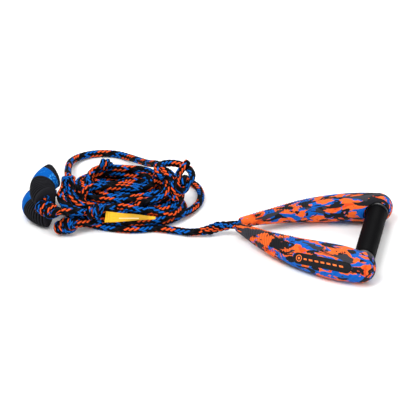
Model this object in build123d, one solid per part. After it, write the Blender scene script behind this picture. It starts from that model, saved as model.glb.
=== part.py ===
from build123d import *
import os
from math import cos, pi, radians, sin, sqrt, tan

os.makedirs("parts", exist_ok=True)

# Wakesurf tow rope handle: a wishbone of two foam arms around a grip bar, with its
# rope wound into a hank behind it. Millimetres. +X runs from the rope to the bar,
# +Y along the bar, +Z up. The origin is on the floor, midway along the handle.

# ---- driving dimensions -------------------------------------------------------
HALF_LENGTH = 114.5          # half of the handle's length, from nose to arm end
ARM_END = 22.2               # the arms reach this far past the bar's axis
BAR_X = HALF_LENGTH - ARM_END
BAR_Z = 23.1
GRIP_DIA = 33.0
GRIP_BORE = 25.5
GRIP_LENGTH = 150.0
TUBE_DIA = 25.4
TUBE_WALL = 1.6
TUBE_LENGTH = 176.0
CAP_FLANGE_DIA = 35.0
CAP_FLANGE = 4.0             # thickness of the end cap's flange
CAP_SLEEVE_DIA = 29.0
CAP_WALL = 3.0               # end wall that holds the tube off the rope
SOCKET_DIA = 36.4            # pocket in each arm that the bar's end turns in
SOCKET_END = 92.5            # its depth, measured from the middle of the bar
BRIDLE_DIA = 10.0
BRIDLE_BORE = 10.8
ROPE_DIA = 12.0
SPLICE_DIA = 16.0

# Arm sections: distance along X, centre's Y, half width, half thickness, tilt of the
# width in degrees (top edge inwards), and how far the section is lifted off the floor.
ARM_SECTIONS = [
    (-108.0, 11.9, 8.4, 8.3, 37.5, 11.4),
    (-70.0, 37.9, 14.9, 12.2, 31.0, 6.7),
    (-30.0, 60.2, 21.0, 17.3, 25.5, 2.8),
    (15.0, 78.2, 26.5, 21.4, 20.0, 0.1),
    (60.0, 91.1, 29.6, 22.6, 15.0, 0.0),
    (BAR_X, 97.1, 25.2, 23.0, 11.3, 0.0),
]
ARM_HEADINGS = [35.0, 32.0, 26.0, 19.0, 13.0, 5.0]   # arm's turn away from +X there
CAP_ANGLES = [24.0, 44.0, 60.0, 72.0, 82.0]          # sections of the rounded end

# Floats on the rope: a foam tube bent to an arc, and the directions of its ends.
FLOAT_DIA = 40.0
FLOAT_BORE = 13.0
FLOAT_RADIUS = 38.0
LOWER_CENTRE = (-410.0, 4.0, 20.5)
UPPER_CENTRE = (-387.0, -23.0, 66.0)
UPPER_TILT = 15.0            # the upper float's far side is raised by this angle
UPPER_ANGLES = {"tip": (134.0, 150.0), "band": (150.0, 178.0), "grip": (178.0, 228.0)}
LOWER_ANGLES = {"tip": (118.0, 176.0), "band": (176.0, 214.0), "grip": (214.0, 266.0)}
UPPER_ROPE_ENDS = (129.3, 234.0)
LOWER_ROPE_ENDS = (110.0, 272.0)
GLUE_GAP = 0.25              # degrees between the float's glued segments

# Hank: the wound rope's outer shape, highest towards the back.
HANK_X = (-398.0, -216.0)
HANK_CORNER = 60.0
HANK_PROFILE = [
    (-37, 0.2), (-37, 14), (-8, 33), (86, 61), (102, 60), (128, 14), (128, 0.2),
]

# Rope routes where it isn't wound, as points of straight runs.
LEAD_ROUTE = [(-166, -12, 9), (-186, -19, 7), (-208, -17, 7), (-229, -9, 9.5), (-246, -2, 14)]
ARCH_ROUTE = [
    (-402, 46, 36), (-418, 87, 30), (-432, 138, 20), (-438, 178, 10), (-426, 206, 6.8),
    (-402, 221, 6.4), (-372, 225, 6.4), (-344, 212, 8), (-318, 180, 20), (-291, 132, 42),
    (-266, 90, 66), (-247, 62, 67), (-231, 44, 57),
]
BOAT_LOOP_ROUTE = [
    (-262, 2, 33), (-244, -1, 26), (-225, 12, 16), (-206, 43, 8), (-195, 82, 6.4),
    (-201, 118, 6.2), (-218, 146, 6.2), (-250, 162, 6.4), (-282, 152, 8), (-300, 122, 12),
]
SMALL_LOOP_ROUTE = [
    (-247, 52, 61), (-261, 60, 66), (-264, 78, 69), (-247, 92, 69), (-224, 92, 67),
    (-207, 80, 62), (-205, 61, 55), (-218, 48, 49),
]
TAIL_ROUTE = [(-223, 28, 34), (-228, 42, 45), (-229, 56, 56), (-226, 72, 66), (-217, 90, 74)]
LINK_ROUTE = [
    (-394, -67, 47), (-375, -57, 43), (-357, -40, 35), (-340, -20, 29), (-314, -5, 31),
    (-290, -4, 32),
]
STRAP_ROUTE = [
    (-398, 8, 66), (-392, -11, 60), (-395, -27, 55), (-389, -40, 49), (-375, -45, 41),
    (-354, -38, 34),
]
SECOND_STRAP_ROUTE = [
    (-388, 12, 66), (-384, -5, 61), (-382, -19, 55), (-374, -28, 48), (-362, -30, 41),
    (-342, -22, 34),
]
TETHER_ROUTE = [(-374, -54, 18), (-358, -43, 16), (-342, -29, 14), (-324, -17, 13), (-302, -12, 12)]

KNOT_UPPER = (-399.0, 11.0, 68.0)
KNOT_FRONT = (-404.0, -66.0, 49.0)
KNOT_LOWER = (-383.0, -60.0, 17.5)
KNOT_TOP = (-350.0, 76.0, 64.0)
KNOT_LOOP = (-222.0, 46.0, 50.0)
LABEL_CENTRE = (-284.0, -22.9, 23.9)


def save(shape, node):
    """Writes one sub-part; the file's name is the node's name."""
    shape.label = node
    export_step(shape, f"parts/{node}.step")


def mirrored(shape):
    """The same shape on the other side of the handle's middle plane."""
    return mirror(shape, about=Plane.XZ)


# ---- handle -------------------------------------------------------------------
def arm_section(x, y, width, height, tilt, lift, heading, grow=0.0):
    """One elliptical section of the +Y arm, square to the way that the arm runs."""
    half_rise = sqrt((width * sin(radians(tilt))) ** 2 + (height * cos(radians(tilt))) ** 2)
    turn = radians(heading)
    outward = Vector(-sin(turn), cos(turn), 0)
    width_way = outward * cos(radians(tilt)) - Vector(0, 0, 1) * sin(radians(tilt))
    centre = Vector(x, y, half_rise + lift)
    plane = Plane(origin=centre, x_dir=width_way, z_dir=Vector(cos(turn), sin(turn), 0))
    return plane * Ellipse(width + grow, height + grow)


def arm_body(grow=0.0):
    """The +Y arm's outer shape, rounded past the bar; grow offsets its surface."""
    sections = []
    for (x, y, width, height, tilt, lift), heading in zip(ARM_SECTIONS, ARM_HEADINGS):
        sections.append(arm_section(x, y, width, height, tilt, lift, heading, grow))
    x, y, width, height, tilt, lift = ARM_SECTIONS[-1]
    base_rise = sqrt((width * sin(radians(tilt))) ** 2 + (height * cos(radians(tilt))) ** 2)
    for angle in CAP_ANGLES:
        share = cos(radians(angle))
        reach = (ARM_END + grow) * sin(radians(angle))
        heading = ARM_HEADINGS[-1] - 10.0 * sin(radians(angle))
        rise = base_rise * share
        section = arm_section(
            x + reach, y - 1.5 * sin(radians(angle)), width * share, height * share,
            tilt, base_rise - rise, heading, grow * share,
        )
        sections.append(section)
    return loft(sections)


def bridle_route():
    """Points of the bridle rope from the rear leg's nose to the bar's middle."""
    points = [Vector(-HALF_LENGTH + 3.0, 8.8, 19.7)]
    for x, y, width, height, tilt, lift in ARM_SECTIONS[:-1]:
        rise = sqrt((width * sin(radians(tilt))) ** 2 + (height * cos(radians(tilt))) ** 2)
        points.append(Vector(x, y, rise + lift))
    points[1] = Vector(-100.0, 17.4, 19.7)
    points.append(Vector(BAR_X, 109.0, BAR_Z))
    points.append(Vector(BAR_X, 0, BAR_Z))
    return points


def corner_radii(points, largest):
    """Fillet radius at each inner point: as large as its two runs allow."""
    radii = []
    for before, here, after in zip(points, points[1:], points[2:]):
        run_in = (here - before).length
        run_out = (after - here).length
        turn = radians((here - before).get_angle(after - here))
        radii.append(min(0.45 * min(run_in, run_out) / tan(turn / 2), largest))
    return radii


def round_tube(points, diameter, largest=4000.0):
    """A round tube along straight runs joined by arcs, with its path's length."""
    points = [Vector(*p) if isinstance(p, tuple) else p for p in points]
    radii = corner_radii(points, largest)
    path = FilletPolyline(*points, radius=radii)
    start = Plane(origin=path @ 0, z_dir=path % 0)
    tube = sweep(start * Circle(diameter / 2), path=path)
    return tube, path.length, radii


def bridle_half(diameter):
    """The +Y half of the bridle, from the nose to the bar's middle."""
    points = bridle_route()
    radii = corner_radii(points, 4000.0)
    radii[-1] = 13.0
    path = FilletPolyline(*points, radius=radii)
    start = Plane(origin=path @ 0, z_dir=path % 0)
    return sweep(start * Circle(diameter / 2), path=path)


def y_cylinder(diameter, start, end):
    """A cylinder on the bar's axis, from one Y to another."""
    middle = (start + end) / 2
    place = Location((BAR_X, middle, BAR_Z), (90, 0, 0))
    return place * Cylinder(diameter / 2, abs(end - start))


def rear_arm():
    """Foam arm with the bridle's channel and the bar's pocket cut out."""
    arm = arm_body()
    arm -= bridle_half(BRIDLE_BORE)
    arm -= y_cylinder(SOCKET_DIA, 40.0, SOCKET_END)
    return arm


def end_cap():
    """Plastic cap on the +Y end of the tube, with the bridle's hole in its wall."""
    flange_start = GRIP_LENGTH / 2 + 0.1
    flange_end = flange_start + CAP_FLANGE
    sleeve_end = TUBE_LENGTH / 2 + CAP_WALL
    cap = y_cylinder(CAP_FLANGE_DIA, flange_start, flange_end)
    cap += y_cylinder(CAP_SLEEVE_DIA, flange_start, sleeve_end)
    cap -= y_cylinder(GRIP_BORE, flange_start - 1, TUBE_LENGTH / 2 + 0.05)
    cap -= y_cylinder(BRIDLE_DIA + 2.4, TUBE_LENGTH / 2 - 1, sleeve_end + 1)
    return cap


def badge_prism(length, height):
    """Bar with round ends that cuts the badge out of a shell over the front arm."""
    along = Vector(0.955, -0.288, 0.07)
    facing = Vector(-0.267, -0.745, 0.583)
    plane = Plane(origin=(33.0, -108.0, 30.0), x_dir=along, z_dir=facing)
    outline = plane * SlotOverall(length, height)
    return extrude(outline, amount=22, both=True)


def badge_patch():
    """Rubber badge that follows the front arm's outer side."""
    shell = mirrored(arm_body(1.5)) - mirrored(arm_body(0.1))
    pieces = (shell & badge_prism(96.0, 16.0)).solids()
    return pieces.sort_by(Axis.Y)[0]


rear_foam = rear_arm()
save(rear_foam, "rear_arm_foam")
save(mirrored(rear_foam), "front_arm_foam")
half_bridle = bridle_half(BRIDLE_DIA)
save(half_bridle + mirrored(half_bridle), "bridle_rope")
tube = y_cylinder(TUBE_DIA, -TUBE_LENGTH / 2, TUBE_LENGTH / 2)
tube -= y_cylinder(TUBE_DIA - 2 * TUBE_WALL, -TUBE_LENGTH, TUBE_LENGTH)
save(tube, "bar_tube")
grip = y_cylinder(GRIP_DIA, -GRIP_LENGTH / 2, GRIP_LENGTH / 2)
grip -= y_cylinder(GRIP_BORE, -GRIP_LENGTH, GRIP_LENGTH)
save(grip, "bar_grip")
rear_cap = end_cap()
save(rear_cap, "rear_bar_cap")
save(mirrored(rear_cap), "front_bar_cap")
save(badge_patch(), "badge_patch")


# ---- splice behind the nose ---------------------------------------------------
def splice():
    """The bridle's two legs plaited together with the main rope's end."""
    wide = Plane(origin=(-HALF_LENGTH - 0.3, 0, 19.0), z_dir=(-1, 0, 0), x_dir=(0, 1, 0))
    legs = Plane(origin=(-132, 0, 16.5), z_dir=(-1, -0.05, -0.2), x_dir=(0, 1, 0))
    middle = Plane(origin=(-150, -4, 13.0), z_dir=(-1, -0.35, -0.2), x_dir=(0.35, -1, 0))
    end = Plane(origin=(-165.6, -11.8, 9.2), z_dir=(-1, -0.4, -0.15), x_dir=(0.4, -1, 0))
    sections = [
        wide * Ellipse(10.5, 7.0),
        legs * Ellipse(SPLICE_DIA / 2 + 0.5, SPLICE_DIA / 2 - 0.5),
        middle * Circle(SPLICE_DIA / 2 - 0.5),
        end * Circle(ROPE_DIA / 2 + 0.4),
    ]
    return loft(sections)


save(splice(), "bridle_splice")


# ---- rope ---------------------------------------------------------------------
def rope_tube(route, node):
    """One stretch of rope, with its bends and volume printed."""
    body, length, radii = round_tube(route, ROPE_DIA)
    section = pi * (ROPE_DIA / 2) ** 2
    rounded = ", ".join(f"{radius:.0f}" for radius in radii)
    share = body.volume / (section * length)
    print(f"{node}: length {length:.0f}, radii {rounded}, volume share {share:.3f}")
    save(body, node)


rope_tube(LEAD_ROUTE, "rope_lead")
rope_tube(ARCH_ROUTE, "rope_arch")
rope_tube(BOAT_LOOP_ROUTE, "boat_loop")
rope_tube(SMALL_LOOP_ROUTE, "small_loop")
rope_tube(TAIL_ROUTE, "rope_tail")
rope_tube(LINK_ROUTE, "rope_link")
rope_tube(STRAP_ROUTE, "rope_strap")
rope_tube(SECOND_STRAP_ROUTE, "second_strap")
rope_tube(TETHER_ROUTE, "rope_tether")


def hank():
    """The wound rope's outer shape: a low mound with a sloping front."""
    outline = Polyline(*[(0, y, z) for y, z in HANK_PROFILE], close=True)
    length = HANK_X[1] - HANK_X[0]
    mound = extrude(make_face(outline), amount=length, dir=(1, 0, 0))
    mound = Pos(HANK_X[0], 0, 0) * mound
    front, back = HANK_PROFILE[0][0], HANK_PROFILE[-1][0]
    middle = ((HANK_X[0] + HANK_X[1]) / 2, (front + back) / 2)
    footprint = RectangleRounded(length, back - front, HANK_CORNER)
    pillar = Pos(*middle, 0) * extrude(footprint, amount=100)
    return mound & pillar


save(hank(), "rope_hank")


def barrel(centre, along, diameter, length):
    """A knot's outer shape: a short round body across the rope."""
    body = Cylinder(diameter / 2, length)
    body = fillet(body.edges(), 0.4 * length)
    return Plane(origin=centre, z_dir=along) * body


save(barrel(KNOT_UPPER, (0.716, 0.698, 0), 30.0, 17.0), "upper_knot")
save(barrel(KNOT_FRONT, (0.56, -0.8, -0.2), 28.0, 26.0), "front_knot")
save(barrel(KNOT_LOWER, (0.86, -0.5, 0), 30.0, 30.0), "lower_knot")
save(barrel(KNOT_TOP, (1, 0.1, 0), 22.0, 22.0), "top_knot")
save(barrel(KNOT_LOOP, (0.2, -1, 0.2), 34.0, 30.0), "loop_knot")


# ---- floats -------------------------------------------------------------------
def float_segment(centre, tilt, start, end, inner, outer):
    """Part of a bent foam tube between two directions about its arc's centre."""
    ring = Pos(FLOAT_RADIUS, 0, 0) * Rot(90, 0, 0) * Circle(outer / 2)
    if inner:
        ring -= Pos(FLOAT_RADIUS, 0, 0) * Rot(90, 0, 0) * Circle(inner / 2)
    segment = revolve(ring, axis=Axis.Z, revolution_arc=end - start)
    return Location(centre, (tilt, 0, 0)) * Location((0, 0, 0), (0, 0, start)) * segment


def float_pieces(name, centre, tilt, angles):
    """The tip, the coloured band and the ribbed grip, glued end to end."""
    for part, (start, end) in angles.items():
        segment = float_segment(
            centre, tilt, start + GLUE_GAP / 2, end - GLUE_GAP / 2, FLOAT_BORE, FLOAT_DIA
        )
        save(segment, f"{name}_float_{part}")


def float_rope(name, centre, tilt, start, end):
    """The rope that the float is threaded on, bent to the same arc."""
    save(float_segment(centre, tilt, start, end, 0, ROPE_DIA), f"{name}_float_rope")


float_pieces("upper", UPPER_CENTRE, UPPER_TILT, UPPER_ANGLES)
float_pieces("lower", LOWER_CENTRE, 0.0, LOWER_ANGLES)
float_rope("upper", UPPER_CENTRE, UPPER_TILT, *UPPER_ROPE_ENDS)
float_rope("lower", LOWER_CENTRE, 0.0, *LOWER_ROPE_ENDS)


# ---- label --------------------------------------------------------------------
def label():
    """Folded webbing label that lies on the hank's sloping front."""
    slope = Plane(origin=LABEL_CENTRE, x_dir=(0.996, 0.076, 0.05), z_dir=(0, -0.548, 0.836))
    outline = Polyline((-40, -10), (-40, 10), (-6, 9), (40, 2), (40, -2), (-6, -9), close=True)
    return extrude(slope * make_face(outline), amount=2.4)


save(label(), "sewn_label")
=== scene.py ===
import math

import bpy
import numpy as np
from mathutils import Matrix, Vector
from mathutils.bvhtree import BVHTree


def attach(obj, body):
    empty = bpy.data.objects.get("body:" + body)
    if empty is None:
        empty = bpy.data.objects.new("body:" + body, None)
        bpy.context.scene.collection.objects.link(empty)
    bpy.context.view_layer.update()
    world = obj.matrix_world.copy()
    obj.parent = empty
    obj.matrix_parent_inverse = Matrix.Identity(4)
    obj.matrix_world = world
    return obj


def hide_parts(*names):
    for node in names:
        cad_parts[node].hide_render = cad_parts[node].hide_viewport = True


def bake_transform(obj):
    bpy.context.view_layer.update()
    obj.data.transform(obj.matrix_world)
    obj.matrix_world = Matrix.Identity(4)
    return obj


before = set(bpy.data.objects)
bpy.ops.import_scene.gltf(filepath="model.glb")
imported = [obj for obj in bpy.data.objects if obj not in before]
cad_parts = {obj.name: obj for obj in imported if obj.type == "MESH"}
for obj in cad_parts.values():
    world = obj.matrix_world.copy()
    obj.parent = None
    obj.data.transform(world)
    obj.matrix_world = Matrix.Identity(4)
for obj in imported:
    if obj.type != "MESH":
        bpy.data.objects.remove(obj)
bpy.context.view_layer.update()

MM = 0.001
ROPE_DIA = 12.0 * MM
BRAID_PITCH = 60.0 * MM      # one turn of a strand around the rope
BRAID_STRANDS = 8            # strands that run each way round


# ---- camera, floor and light ---------------------------------------------------
CAMERA_TARGET = (-0.18155, 0.07922, 0.0)
CAMERA_AZIMUTH, CAMERA_ELEVATION = math.radians(12.31), math.radians(28.24)
CAMERA_DISTANCE = 3.0
CAMERA_LENS = 160.8
STAGE_MIDDLE = (-0.18, 0.03, 0.0)
FLOOR_HALF_SIZE = 6.0
LIGHT_SIZE = 1.6
# Each light's place and power.
LIGHTS = {
    "key": ((-0.9, -0.9, 2.1), 50),
    "fill": ((1.5, -1.2, 1.3), 18),
    "back": ((0.2, 1.8, 1.7), 26),
}
WORLD_STRENGTH = 0.5


def add_camera():
    """A long lens from in front, a little to the right and above."""
    data = bpy.data.cameras.new("camera")
    data.lens = CAMERA_LENS
    data.sensor_width = 36.0
    data.clip_end = 50.0
    camera = bpy.data.objects.new("camera", data)
    bpy.context.scene.collection.objects.link(camera)
    back = Vector((
        math.sin(CAMERA_AZIMUTH) * math.cos(CAMERA_ELEVATION),
        -math.cos(CAMERA_AZIMUTH) * math.cos(CAMERA_ELEVATION),
        math.sin(CAMERA_ELEVATION),
    ))
    camera.location = Vector(CAMERA_TARGET) + back * CAMERA_DISTANCE
    camera.rotation_euler = back.to_track_quat("Z", "Y").to_euler()
    bpy.context.scene.camera = camera


def area_light(name, place, power):
    data = bpy.data.lights.new(name, "AREA")
    data.shape = "DISK"
    data.size = LIGHT_SIZE
    data.energy = power
    light = bpy.data.objects.new(name, data)
    bpy.context.scene.collection.objects.link(light)
    light.location = place
    way = Vector(place) - Vector(STAGE_MIDDLE)
    light.rotation_euler = way.to_track_quat("Z", "Y").to_euler()


def add_stage():
    """A pale floor and soft light from a large key, a fill and a back light."""
    mesh = bpy.data.meshes.new("floor")
    size = FLOOR_HALF_SIZE
    corners = [(-size, -size, 0), (size, -size, 0), (size, size, 0), (-size, size, 0)]
    mesh.from_pydata(corners, [], [(0, 1, 2, 3)])
    floor = bpy.data.objects.new("floor", mesh)
    bpy.context.scene.collection.objects.link(floor)
    material = bpy.data.materials.new("floor")
    material.use_nodes = True
    shader = material.node_tree.nodes["Principled BSDF"]
    shader.inputs["Base Color"].default_value = (0.92, 0.92, 0.92, 1)
    shader.inputs["Roughness"].default_value = 0.9
    mesh.materials.append(material)
    for name, (place, power) in LIGHTS.items():
        area_light(name, place, power)
    world = bpy.data.worlds.new("world")
    bpy.context.scene.world = world
    world.use_nodes = True
    world.node_tree.nodes["Background"].inputs[0].default_value = (1, 1, 1, 1)
    world.node_tree.nodes["Background"].inputs[1].default_value = WORLD_STRENGTH
    bpy.context.scene.view_settings.view_transform = "Standard"


# ---- rope: line, braid and mesh -------------------------------------------------
def smooth_line(name, points):
    """Points along the NURBS line that a rope's route controls."""
    curve = bpy.data.curves.new(name, "CURVE")
    curve.dimensions = "3D"
    curve.resolution_u = 12
    spline = curve.splines.new("NURBS")
    spline.points.add(len(points) - 1)
    for target, point in zip(spline.points, points):
        target.co = (*point, 1.0)
    spline.order_u = 3
    spline.use_endpoint_u = True
    holder = bpy.data.objects.new(name, curve)
    mesh = bpy.data.meshes.new_from_object(holder)
    line = np.array([vertex.co for vertex in mesh.vertices])
    bpy.data.objects.remove(holder)
    bpy.data.meshes.remove(mesh)
    return line


def even_line(line, step):
    """The same line with points a constant distance apart."""
    reach = np.concatenate([[0], np.cumsum(np.linalg.norm(np.diff(line, axis=0), axis=1))])
    count = max(int(round(reach[-1] / step)), 2)
    places = np.linspace(0, reach[-1], count + 1)
    return np.stack([np.interp(places, reach, line[:, i]) for i in range(3)], axis=1)


def carried_frames(line):
    """Tangents and two crosswise directions that turn as little as the line allows."""
    tangents = np.gradient(line, axis=0)
    tangents /= np.linalg.norm(tangents, axis=1)[:, None]
    side = np.cross(tangents[0], (0.0, 0.0, 1.0))
    if np.linalg.norm(side) < 0.1:
        side = np.cross(tangents[0], (1.0, 0.0, 0.0))
    sides = []
    for tangent in tangents:
        side = side - tangent * side.dot(tangent)
        side /= np.linalg.norm(side)
        sides.append(side.copy())
    sides = np.array(sides)
    return tangents, sides, np.cross(tangents, sides)


def braid_relief(around, along):
    """Height of a two over, two under braid: 0 in its grooves, 1 on its crowns."""
    right = BRAID_STRANDS * (around + along)
    left = BRAID_STRANDS * (around - along)
    right_on_top = np.mod(np.floor(right) + np.floor(left), 4) < 2
    across = np.where(right_on_top, right, left)
    lengthwise = np.where(right_on_top, left + np.floor(right), right + np.floor(left))
    crown = np.sin(np.pi * np.mod(across, 1.0))
    bow = np.sin(np.pi * np.mod(lengthwise, 2.0) / 2.0)
    return np.sqrt(np.clip(crown, 0, 1)) * (0.35 + 0.65 * np.clip(bow, 0, 1))


def new_object(name, vertices, faces, material, smooth=True):
    mesh = bpy.data.meshes.new(name)
    mesh.from_pydata([tuple(v) for v in vertices], [], faces)
    mesh.materials.append(material)
    mesh.polygons.foreach_set("use_smooth", [smooth] * len(mesh.polygons))
    mesh.update()
    thing = bpy.data.objects.new(name, mesh)
    bpy.context.scene.collection.objects.link(thing)
    return thing


def tube_faces(rings, sides):
    """Quads between neighbouring rings, and a fan's end faces as two polygons."""
    ring = np.arange(rings - 1)[:, None] * sides
    place = np.arange(sides)[None, :]
    following = (place + 1) % sides
    quads = np.stack(
        [ring + place, ring + following, ring + sides + following, ring + sides + place], -1
    ).reshape(-1, 4)
    faces = [tuple(int(i) for i in quad) for quad in quads]
    faces.append(tuple(range(sides - 1, -1, -1)))
    faces.append(tuple(range((rings - 1) * sides, rings * sides)))
    return faces


def rope_mesh(name, line, diameter, material, start=0.0, sides=20, step=1.5 * MM, relief=0.55 * MM):
    """Braided rope along a line; start shifts the braid's colours along it."""
    scale = diameter / ROPE_DIA
    pitch = BRAID_PITCH * scale
    line = even_line(line, step)
    _, side, up = carried_frames(line)
    around = np.arange(sides) / sides
    along = np.arange(len(line)) * step / pitch + start
    height = braid_relief(around[None, :], along[:, None])
    radius = diameter / 2 - relief * scale * (1 - height)
    angle = 2 * np.pi * around
    out = np.cos(angle)[None, :, None] * side[:, None] + np.sin(angle)[None, :, None] * up[:, None]
    vertices = (line[:, None] + radius[..., None] * out).reshape(-1, 3)
    rope = new_object(name, vertices, tube_faces(len(line), sides), material)
    layer = rope.data.uv_layers.new(name="braid")
    corner = np.zeros(len(rope.data.loops), dtype=np.int32)
    rope.data.loops.foreach_get("vertex_index", corner)
    u = (corner % sides) / sides
    v = along[corner // sides]
    wall = (len(line) - 1) * sides * 4
    last = u[:wall].reshape(-1, 4)
    wraps = (last.max(axis=1) - last.min(axis=1)) > 0.5
    last[wraps] = np.where(last[wraps] < 0.5, last[wraps] + 1.0, last[wraps])
    u[:wall] = last.reshape(-1)
    layer.data.foreach_set("uv", np.stack([u, v], axis=1).reshape(-1).astype(np.float32))
    return rope, line


# ---- materials ------------------------------------------------------------------
class Nodes:
    """Short calls for building one material's node tree."""

    def __init__(self, name):
        self.material = bpy.data.materials.new(name)
        self.material.use_nodes = True
        self.tree = self.material.node_tree
        self.shader = self.tree.nodes["Principled BSDF"]

    def add(self, kind, **settings):
        node = self.tree.nodes.new(kind)
        for key, value in settings.items():
            setattr(node, key, value)
        return node

    def link(self, output, socket):
        self.tree.links.new(output, socket)

    def put(self, socket, value):
        if hasattr(value, "is_output"):
            self.link(value, socket)
        else:
            socket.default_value = value

    def math(self, operation, a, b=None, c=None):
        node = self.add("ShaderNodeMath", operation=operation)
        for socket, value in zip(node.inputs, (a, b, c)):
            if value is not None:
                self.put(socket, value)
        return node.outputs[0]

    def mix(self, factor, a, b):
        node = self.add("ShaderNodeMix", data_type="RGBA")
        self.put(node.inputs["Factor"], factor)
        self.put(node.inputs[6], a)
        self.put(node.inputs[7], b)
        return node.outputs[2]

    def noise(self, vector, scale, detail=3.0, distortion=0.0, roughness=0.5):
        node = self.add("ShaderNodeTexNoise")
        if vector is not None:
            self.link(vector, node.inputs["Vector"])
        node.inputs["Scale"].default_value = scale
        node.inputs["Detail"].default_value = detail
        node.inputs["Distortion"].default_value = distortion
        node.inputs["Roughness"].default_value = roughness
        return node.outputs["Fac"]

    def ramp(self, factor, stops, interpolation="LINEAR"):
        node = self.add("ShaderNodeValToRGB")
        node.color_ramp.interpolation = interpolation
        elements = node.color_ramp.elements
        while len(elements) < len(stops):
            elements.new(0.5)
        for element, (place, colour) in zip(elements, stops):
            element.position = place
            element.color = colour
        self.link(factor, node.inputs[0])
        return node.outputs[0]

    def bump(self, height, strength, distance, normal=None):
        node = self.add("ShaderNodeBump")
        node.inputs["Strength"].default_value = strength
        node.inputs["Distance"].default_value = distance
        self.link(height, node.inputs["Height"])
        if normal is not None:
            self.link(normal, node.inputs["Normal"])
        return node.outputs[0]

    def finish(self, colour, roughness, normal=None, **constants):
        self.put(self.shader.inputs["Base Color"], colour)
        self.put(self.shader.inputs["Roughness"], roughness)
        if normal is not None:
            self.link(normal, self.shader.inputs["Normal"])
        for key, value in constants.items():
            self.shader.inputs[key.replace("_", " ")].default_value = value
        return self.material


ORANGE = (0.88, 0.10, 0.018, 1)
BLUE = (0.002, 0.12, 0.52, 1)
BLACK = (0.0012, 0.0012, 0.0018, 1)


def braid_material():
    """Black braid with runs of orange and blue strands, fine yarns in each strand, and painted shade
    darkening the grooves between strands.
    """
    n = Nodes("rope_braid")
    uv = n.add("ShaderNodeUVMap", uv_map="braid").outputs[0]
    split = n.add("ShaderNodeSeparateXYZ")
    n.link(uv, split.inputs[0])
    u, v = split.outputs[0], split.outputs[1]
    right = n.math("MULTIPLY", n.math("ADD", u, v), BRAID_STRANDS)
    left = n.math("MULTIPLY", n.math("SUBTRACT", u, v), BRAID_STRANDS)
    right_cell, left_cell = n.math("FLOOR", right), n.math("FLOOR", left)
    turn = n.math("FLOORED_MODULO", n.math("ADD", right_cell, left_cell), 4.0)
    on_top = n.math("LESS_THAN", turn, 1.5)
    step = 1.0 / BRAID_STRANDS

    def strand_colours(cell, colours):
        place = n.math("DIVIDE", n.math("FLOORED_MODULO", cell, float(BRAID_STRANDS)), BRAID_STRANDS)
        place = n.math("ADD", place, step / 2)
        stops = [(i * step, colour) for i, colour in enumerate(colours)]
        return n.ramp(place, stops, "CONSTANT")

    grey = (0.007, 0.007, 0.010, 1)
    right_colour = strand_colours(
        right_cell, [BLUE, BLUE, BLUE, ORANGE, ORANGE, ORANGE, BLACK, grey])
    left_colour = strand_colours(
        left_cell, [BLACK, grey, BLACK, BLACK, grey, BLACK, BLUE, BLACK])
    colour = n.mix(on_top, left_colour, right_colour)
    across = n.math("ADD", n.math("MULTIPLY", right, on_top),
                    n.math("MULTIPLY", left, n.math("SUBTRACT", 1.0, on_top)))
    strand = n.math("FRACT", across)
    crown = n.math("SINE", n.math("MULTIPLY", strand, math.pi))
    yarns = n.math("SINE", n.math("MULTIPLY", strand, 2 * math.pi * 4))
    groove = n.math("POWER", crown, 0.5)
    fibres = n.noise(uv, 90.0, 2.0)
    # Painted shade: the grooves between strands are mixed towards near-black, varied by a random fibre
    # tone.
    shade = n.math("MAXIMUM", n.math("MULTIPLY_ADD", groove, 1.7, -0.7), 0.0)
    shade = n.math("MULTIPLY", shade, n.math("MULTIPLY_ADD", fibres, 0.5, 0.75))
    dark = n.mix(shade, (0.001, 0.001, 0.0014, 1), colour)
    height = n.math("ADD", groove, n.math("MULTIPLY", yarns, 0.12))
    normal = n.bump(height, 0.6, 0.6 * MM)
    return n.finish(dark, 0.7, normal, Specular_IOR_Level=0.05)


# ---- the hank -------------------------------------------------------------------
# Each turn of the wound rope, in winding order and mm: its front strand's Y and Z, then
# its back strand's, how far its strands fan out, and how much shorter it is at its ends.
HANK_TURNS = [
    (-31, 6, 122, 6, 1, 0, 0), (-18, 6, 109, 6, 2, 4, 4), (-5, 6, 96, 6, 2, 8, 8),
    (8, 6, 83, 6, 2, 12, 12), (13, 17, 78, 17, 2, 14, 14), (1, 17, 90, 17, 2, 8, 10),
    (-12, 17, 103, 17, 3, 4, 6), (-25, 16, 116, 17, 2, 2, 2), (-8, 27, 110, 28, 5, 6, 2),
    (16, 28, 86, 29, 4, 16, 12), (4, 29, 100, 38, -5, 4, 8), (8, 37, 91, 46, 6, 12, 6),
    (33, 42, 84, 30, -5, 18, 12), (20, 39, 88, 53, -6, 10, 10), (45, 49, 102, 24, 5, 22, 16),
    (34, 46, -16, 24, 6, 14, 22), (26, 45, 80, 54, 6, 20, 10), (60, 53, 6, 38, -6, 26, 14),
]
HANK_MIDDLE_X = -308.0
HANK_MIDDLE_Y = 40.0
HANK_HALF_LENGTH = 94.0
TURN_POINTS = 36
SETTLED_STEP = 10.0          # distance between points of the settled line, in mm
SETTLING_BEND = 30.0         # bends tighter than this are eased while turns settle
FINAL_BEND = 24.0            # and than this afterwards
FOLD_BEND = 17.0             # a point on a bend tighter than this is left out
HELD_POINTS = 2              # points of the wound line that stay by the lead


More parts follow.
